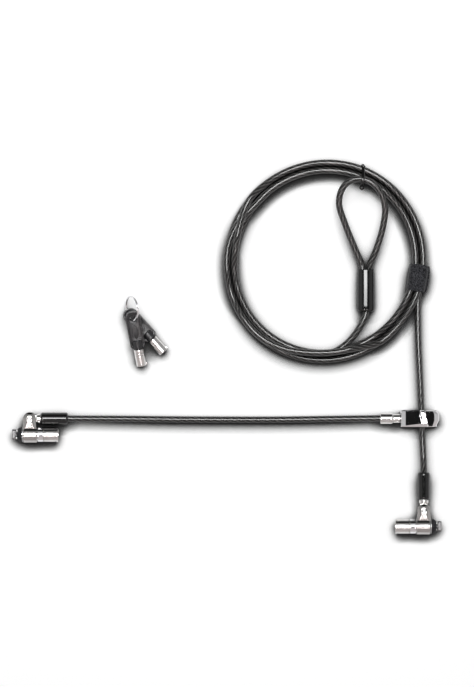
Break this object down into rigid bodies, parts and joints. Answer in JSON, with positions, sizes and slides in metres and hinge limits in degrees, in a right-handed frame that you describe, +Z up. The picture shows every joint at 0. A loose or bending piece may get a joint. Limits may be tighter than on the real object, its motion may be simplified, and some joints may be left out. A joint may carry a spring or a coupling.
{
  "type": "laptop cable lock",
  "caption": "Keyed laptop lock: coiled steel cable with a crimped eye and a lock head, a short cable with its own head and a slider loop, and tubular keys on a ring.",
  "frame": {"origin": "on the table plane, below the middle of the box round the lock heads, slider, keys and ring", "axes": "+X to the right along the second cable, +Y from the right head towards the coil, +Z up from the table"},
  "size_m": [0.2862, 0.2495, 0.017],
  "materials": {
    "cable": "smoky clear sheath over dark twisted steel",
    "nickel": "polished nickel",
    "chrome": "bright chrome",
    "steel": "plain machined steel",
    "brass": "machined brass",
    "rubber": "matt moulded rubber",
    "gloss_black": "gloss black moulding",
    "key_plastic": "satin black moulding",
    "strap_fabric": "hook-and-loop fabric"
  },
  "bodies": {
    "main_cable": {"main_cable_coil": "cable", "main_cable_run": "cable", "main_cable_eye": "cable", "eye_sleeve": "gloss_black", "eye_crimp": "steel", "coil_strap": "strap_fabric", "coil_tie": "gloss_black", "right_cable_eye": "nickel", "right_ferrule_cover": "gloss_black"},
    "right_fork": {"right_swivel_collar": "chrome", "right_fork_pin": "steel"},
    "right_barrel": {"right_barrel_shell": "nickel", "right_rear_sleeve": "nickel", "right_nose_bumper": "rubber", "right_guide_plate": "steel", "right_lock_stator": "brass", "right_pin_set": "steel", "right_stator_dowel": "steel", "right_snap_ring": "steel"},
    "right_bolt": {"right_t_bar": "steel", "right_lock_rotor": "brass"},
    "slider": {"slider_loop": "chrome", "slider_ferrule": "nickel", "second_cable": "cable", "left_cable_eye": "nickel", "left_ferrule_cover": "gloss_black"},
    "left_fork": {"left_swivel_collar": "chrome", "left_fork_pin": "steel"},
    "left_barrel": {"left_barrel_shell": "nickel", "left_rear_sleeve": "nickel", "left_nose_bumper": "rubber", "left_guide_plate": "steel", "left_lock_stator": "brass", "left_pin_set": "steel", "left_stator_dowel": "steel", "left_snap_ring": "steel"},
    "left_bolt": {"left_t_bar": "steel", "left_lock_rotor": "brass"},
    "ring": {"key_ring": "chrome"},
    "key_1": {"key_1_bow": "key_plastic", "key_1_barrel": "nickel"},
    "key_2": {"key_2_bow": "key_plastic", "key_2_barrel": "nickel"}
  },
  "joints": [
    {"name": "right_head_fold", "type": "hinge", "parent": "main_cable", "child": "right_fork", "pos_m": [0.1313, -0.0635, 0.0055], "axis": [0, 0, 1], "range_deg": [-90, 90]},
    {"name": "right_head_swivel", "type": "hinge", "parent": "right_fork", "child": "right_barrel", "pos_m": [0.1313, -0.0741, 0.0055], "axis": [1, 0, 0], "continuous": true},
    {"name": "right_t_bar_turn", "type": "hinge", "parent": "right_barrel", "child": "right_bolt", "pos_m": [0.1313, -0.0741, 0.0055], "axis": [1, 0, 0], "range_deg": [0, 90]},
    {"name": "slider_slide", "type": "slide", "parent": "main_cable", "child": "slider", "axis": [0, 1, 0], "range_m": [-0.026, 0.03]},
    {"name": "left_head_fold", "type": "hinge", "parent": "slider", "child": "left_fork", "pos_m": [-0.1313, -0.0023, 0.0055], "axis": [0, 0, -1], "range_deg": [0, 180]},
    {"name": "left_head_swivel", "type": "hinge", "parent": "left_fork", "child": "left_barrel", "pos_m": [-0.1313, -0.0129, 0.0055], "axis": [-1, 0, 0], "continuous": true},
    {"name": "left_t_bar_turn", "type": "hinge", "parent": "left_barrel", "child": "left_bolt", "pos_m": [-0.1313, -0.0129, 0.0055], "axis": [-1, 0, 0], "range_deg": [0, 90]},
    {"name": "ring_lift", "type": "slide", "parent": "main_cable", "child": "ring", "axis": [0, 0, 1], "range_m": [0, 0.03]},
    {"name": "key_1_swing", "type": "hinge", "parent": "ring", "child": "key_1", "pos_m": [-0.06143, 0.06308, 0.011], "axis": [0, 0, 1], "range_deg": [-60, 0]},
    {"name": "key_2_swing", "type": "hinge", "parent": "ring", "child": "key_2", "pos_m": [-0.06358, 0.06592, 0.00445], "axis": [0, 0, 1], "range_deg": [0, 60]}
  ]
}
